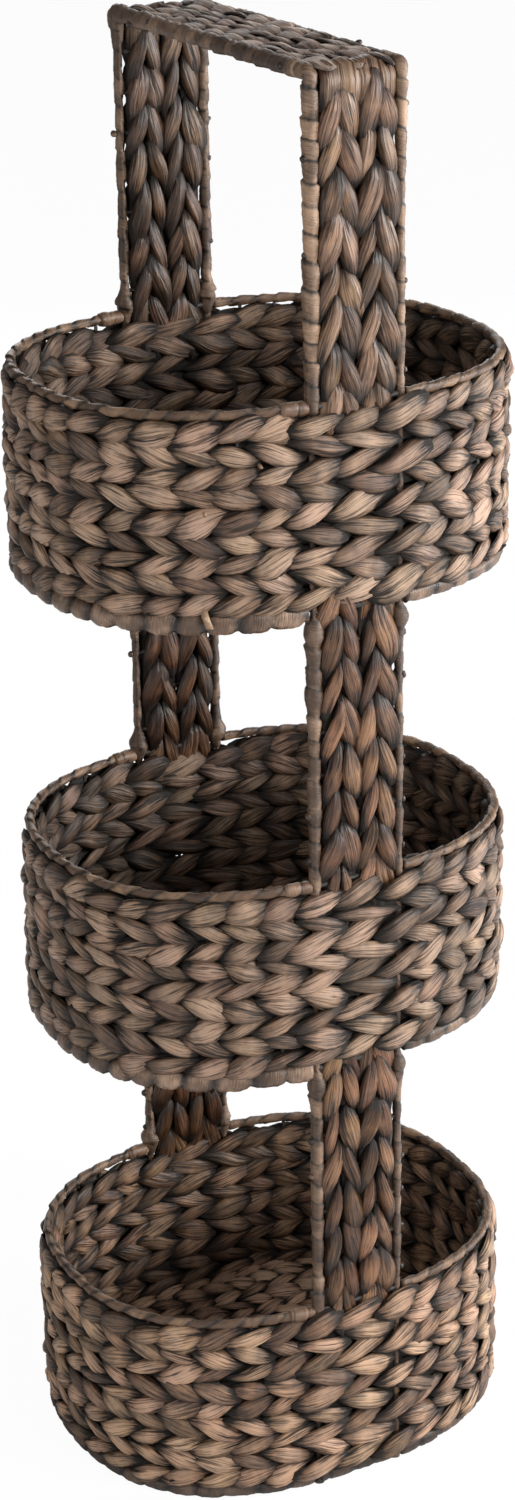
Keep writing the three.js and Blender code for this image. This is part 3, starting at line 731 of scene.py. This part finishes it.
for tier, tier_name in enumerate(TIER_NAMES):
    level = BASE_LEVEL + tier * TIER_PITCH + BASKET_HEIGHT
    for side_name, line in HOOP_ENDS.items():
        rng = np.random.default_rng(80 + 2 * tier + (side_name == "left"))
        wound = winding(line + level * UP, DOWN, RIM_RADIUS, RIM_STRIP, rng, RIM_LIP, RIM_PILLOW, RIM_SLANT)
        node = f"{tier_name}_{side_name}_rim_hoop"
        leaf_piece(f"{node}_winding", [wound], rim_leaf, "leaf_winding", node)
    for end in (-1, 1):
        rng = np.random.default_rng(86 + 2 * tier + (end > 0))
        places = np.linspace(END_START - 0.001, END_START + SLEEVE_LENGTH, 12)
        sleeve = oval_line(places)[0] * [-1, -end, 1] + level * UP
        rim_sleeves.append(winding(sleeve[::end], DOWN, SLEEVE_RADIUS, SLEEVE_STRIP, rng,
                                   SLEEVE_LIP, SLEEVE_PILLOW, SLEEVE_SLANT, swell=SLEEVE_SWELL))
        rim_rungs.append(plain_wire(rung_line + [0.0, end * ROD_DEPTH, level], HOOP_WIRE, 8, UP))
leaf_piece("rim_sleeves", rim_sleeves, sleeve_leaf, "leaf_winding",
           *[f"{tier_name}_left_rim_hoop" for tier_name in TIER_NAMES])
leaf_piece("rim_rungs", rim_rungs, stake_wire, "frame_wire", "arch_frame")


# Floors: twined rows of the same dark-stained leaf from end to end of each basket. They lie on the stake
# wires, and the ends of the rows are pushed into the foot of the wall, which holds them.
FLOOR_ROW_PITCH = 0.0125
FLOOR_STITCH = 0.023
FLOOR_MARGIN = 0.0065
FLOOR_LIFT = 0.0098
FLOOR_STITCH_FORM = (0.0018, 0.0036, 0.0138, 0.0046, 1.66, 1.8, 0.0006)
FLOOR_TUCKED = (0.0122, 0.0018)
# The floors get lighter tones than the walls, though they are the same leaf: painted light on the floors
# inside the baskets.
FLOOR_LIT_TONES = [(0.05, (0.070, 0.044, 0.030)), (0.35, (0.225, 0.144, 0.100)), (0.70, (0.430, 0.292, 0.205))]
lit_floor_leaf = leaf_finish("lit_floor_leaf", FLOOR_LIT_TONES, LEAF_STAIN_AND_SHADE, 0.46)
floor_half = HOOP_DEPTH - FLOOR_MARGIN - FLOOR_ROW_PITCH / 2
row_places = np.linspace(-floor_half, floor_half, round(2 * floor_half / FLOOR_ROW_PITCH) + 1)
for tier, tier_name in enumerate(TIER_NAMES):
    rng = np.random.default_rng(200 + tier)
    level = BASE_LEVEL + tier * TIER_PITCH + FLOOR_LIFT
    strands = []
    for row, y in enumerate(row_places):
        inner_edge = max(abs(y) - 0.4 * FLOOR_ROW_PITCH, 0.0) / (HOOP_DEPTH - FLOOR_MARGIN)
        half = (HOOP_LENGTH - FLOOR_MARGIN) * (1 - inner_edge ** OVAL_EXPONENT) ** (1 / OVAL_EXPONENT)
        row_end = half - 0.5 * FLOOR_STITCH
        places = np.linspace(-row_end, row_end, round(2 * row_end / FLOOR_STITCH) + 1 + row % 2)
        pitch = places[1] - places[0]

        def line(along):
            spot = np.stack([along, np.full_like(along, y), np.full_like(along, level)], -1)
            return spot, np.broadcast_to(UP, spot.shape), np.broadcast_to([0.0, 1.0, 0.0], spot.shape)

        hand = 1 if row % 2 == 0 else -1
        strands += [stitches(line, places, pitch, side, hand, FLOOR_STITCH_FORM, rng) for side in (1, -1)]
        strands.append(tucked_ends(line, np.linspace(-half, half, 30), *FLOOR_TUCKED))
    node = f"{tier_name}_floor_mat"
    leaf_piece(f"{node}_twine", strands, lit_floor_leaf, "leaf_floor", node)


# Upright plaits: four columns of twined leaf round the rungs between the rods, in pairs that lean
# together like an ear of wheat. The columns of the handle fold over its corners as broad straps.
COLUMN_PITCH = 0.0125
PLAIT_TONES = [(0.05, (0.017, 0.008, 0.004)), (0.45, (0.073, 0.037, 0.020)), (0.88, (0.200, 0.115, 0.066))]
plait_leaf = leaf_finish("plait_leaf", PLAIT_TONES, (0.0085, 0.0050, 0.0032), 0.29)
PLAIT_STITCH = (0.0031, 0.0036, 0.0135, 0.0070, 1.66, 2.1, -0.0011)
STRAP_STITCH = (0.0028, 0.0008, 0.0150, 0.0044, 1.6, 4.5, 0.0)
PLAIT_TUCKED = (0.0120, 0.0026)


def plait(column_pair, path, stations, further, face, rng, strap=None):
    """The stitches of one plait, two columns with opposite twists along a path in the plane of a rod, on
    the front (face -1) or the back (face 1). Stations are the distances of the stitches along the path,
    further is how far each stands out, and strap is the place of a broad stitch that folds over a
    corner."""
    length = distances(path)
    heading = unit(np.gradient(path, axis=0))
    strands = []
    for column in (0, 1):
        x = (2 * column_pair + column - 1.5) * COLUMN_PITCH

        def line(along):
            spot = follow(along, length, path) + x * ACROSS
            out = unit(np.cross(follow(along, length, heading), ACROSS) * face)
            return spot, out, np.broadcast_to(ACROSS, spot.shape)

        hand = -face if column == 0 else face
        shift = rng.uniform(-0.0025, 0.0025, len(stations))
        for side in (1, -1):
            places = stations + shift
            strands.append(stitches(line, places, RUNG_PITCH, side, hand, PLAIT_STITCH, rng, further))
            if strap is not None:
                strands.append(stitches(line, np.array([strap]), RUNG_PITCH, side, hand, STRAP_STITCH, rng))
        strands.append(tucked_ends(line, np.linspace(0.0, length[-1], 60), *PLAIT_TUCKED))
    return strands


# A plait runs on behind the walls by TUCK, with one more stitch END_STEP beyond the rungs, sunk in.
TUCK = 0.040
END_STEP, END_SINK = 0.022, -0.0024
for face_name, face in (("front", -1), ("back", 1)):
    for tier, panel_name in enumerate(("lower", "upper")):
        foot = PANEL_FOOT + tier * TIER_PITCH - TUCK
        head = PANEL_HEAD + tier * TIER_PITCH + TUCK
        stations = rung_places(PANEL_FOOT, PANEL_HEAD) + tier * TIER_PITCH - foot
        stations = np.concatenate([stations[:1] - END_STEP, stations, stations[-1:] + END_STEP])
        further = np.where(np.isin(stations, stations[[0, -1]]), END_SINK, 0.0)
        upright = np.linspace([0.0, face * ROD_DEPTH, foot], [0.0, face * ROD_DEPTH, head], 40)
        for pair, side_name in enumerate(("left", "right")):
            rng = np.random.default_rng(300 + 10 * tier + 4 * pair + (face > 0))
            node = f"{face_name}_{panel_name}_{side_name}_plait"
            strands = plait(pair, upright, stations, further, face, rng)
            leaf_piece(f"{node}_leaf", strands, plait_leaf, "leaf_weave", node)

HANDLE_TONES = [(0.05, (0.018, 0.010, 0.006)), (0.45, (0.080, 0.046, 0.028)), (0.88, (0.218, 0.140, 0.091))]
handle_leaf = leaf_finish("handle_leaf", HANDLE_TONES, (0.0085, 0.0055, 0.0038), 0.29)
STRAP_LAP, STRAP_DROP = 0.021, 0.005
handle_foot = HANDLE_FOOT - TUCK
rise = HANDLE_LEVEL - BEND_RADIUS - handle_foot
corner = BEND_RADIUS * np.pi / 2
strap_end = [0.0, BEND_RADIUS - ROD_DEPTH + STRAP_LAP, HANDLE_LEVEL]
handle_path = np.concatenate([[[0.0, -ROD_DEPTH, handle_foot]], front_bend, [strap_end]])
front_upright = resample(handle_path, 0.002)[0]
up_rungs = rung_places(HANDLE_FOOT, HANDLE_LEVEL - RUNG_CLEAR) - handle_foot
up_rungs = np.concatenate([up_rungs[:1] - END_STEP, up_rungs])
further = np.where(up_rungs == up_rungs[0], END_SINK, 0.0)
strap = rise + corner / 2 - STRAP_DROP
for pair, side_name in enumerate(("left", "right")):
    rng = np.random.default_rng(340 + pair)
    strands = plait(pair, front_upright, up_rungs, further, -1, rng, strap)
    strands += plait(pair, front_upright * [1, -1, 1], up_rungs, further, 1, rng, strap)
    node = f"handle_{side_name}_plait"
    leaf_piece(f"{node}_leaf", strands, handle_leaf, "leaf_weave", node)


# Handle top: five flat strands of leaf, each over one rung and under the next, so that the short stitches
# lie like staggered bricks. Their ends are tucked under the straps at the corners.
TOP_COLUMNS = 5
TOP_PITCH = 0.0104
TOP_BRICK = 0.024
TOP_STITCH = (0.0018, 0.0, 0.0128, 0.0034, 1.24, 8.0, 0.0)
TOP_TUCKED = (0.0102, 0.0020)
# The handle top gets lighter, greyer tones than the plaits: painted top light and sheen.
TOP_SHEEN_TONES = [(0.05, (0.056, 0.039, 0.030)), (0.45, (0.180, 0.132, 0.105)), (0.88, (0.330, 0.250, 0.204))]
sheen_top_leaf = leaf_finish("handle_top_leaf_with_painted_sheen", TOP_SHEEN_TONES, LEAF_STAIN_AND_SHADE, 0.42)
top_half = ROD_DEPTH - BEND_RADIUS - 0.008
rng = np.random.default_rng(360)
top_strands = []
for column in range(TOP_COLUMNS):
    x = (column - 0.5 * (TOP_COLUMNS - 1)) * TOP_PITCH

    def line(along):
        spot = np.stack([np.full_like(along, x), along, np.full_like(along, HANDLE_LEVEL + 0.0010)], -1)
        return spot, np.broadcast_to(UP, spot.shape), np.broadcast_to(ACROSS, spot.shape)

    places = np.arange(-top_half + 0.5 * (column % 2) * TOP_BRICK, top_half, TOP_BRICK)
    top_strands += [stitches(line, places, TOP_BRICK, side, 1, TOP_STITCH, rng) for side in (1, -1)]
    top_strands.append(tucked_ends(line, np.linspace(-top_half, top_half, 20), *TOP_TUCKED))
leaf_piece("handle_top_weave", top_strands, sheen_top_leaf, "leaf_weave",
           "handle_left_plait", "handle_right_plait")
